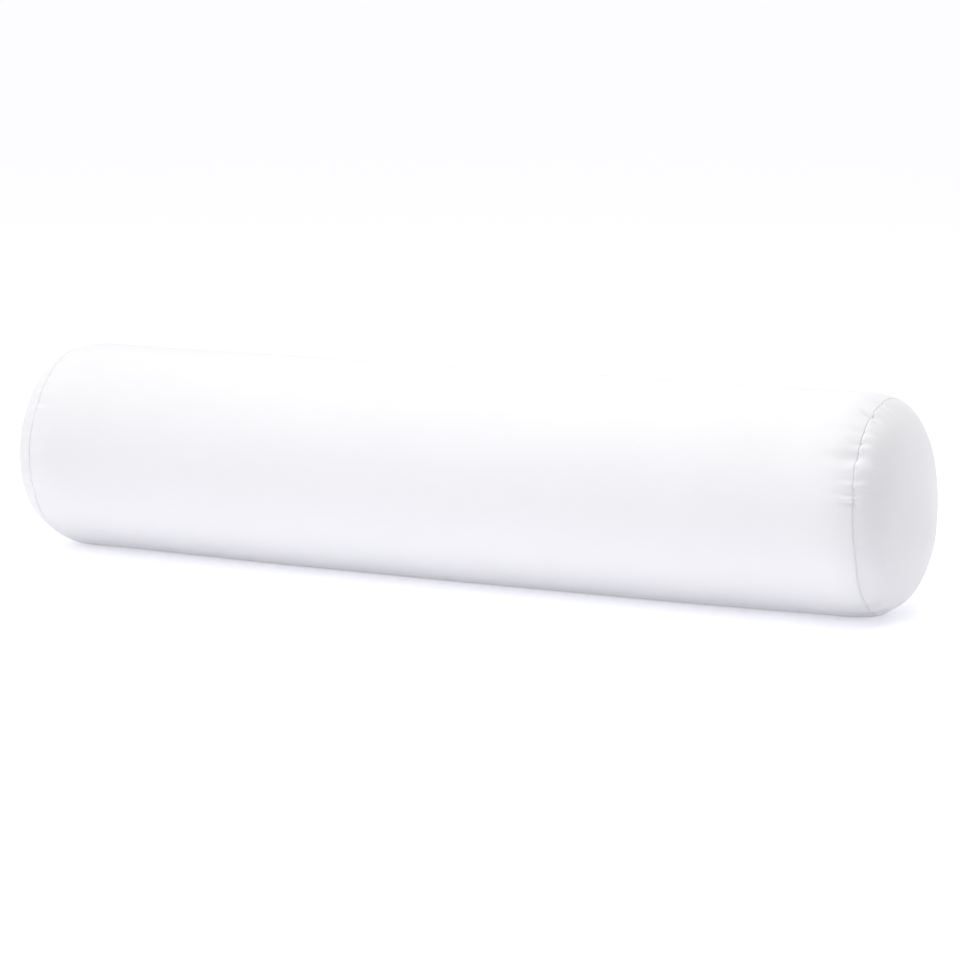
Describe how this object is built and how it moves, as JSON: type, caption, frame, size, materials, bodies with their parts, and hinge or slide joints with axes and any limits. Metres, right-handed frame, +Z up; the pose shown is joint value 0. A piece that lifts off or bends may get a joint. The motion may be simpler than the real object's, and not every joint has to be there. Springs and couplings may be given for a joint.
{
  "type": "body pillow",
  "caption": "Long firm bolster-shaped body pillow in plain white cotton, with a domed round panel sewn into each end.",
  "frame": {"origin": "centre of the pillow's footprint, on the plane that it rests on", "axes": "+X along the pillow towards the flatter end panel, +Z up, -Y towards the front"},
  "size_m": [1.02, 0.2261, 0.218],
  "materials": {
    "side_cloth": "smooth plain-woven white cotton of the long side panel, matt",
    "end_cloth": "smooth plain-woven white cotton of the end panels, matt"
  },
  "bodies": {
    "root": {"stuffed_body": "side_cloth", "end_panel_left": "end_cloth", "end_panel_right": "end_cloth"}
  },
  "joints": []
}
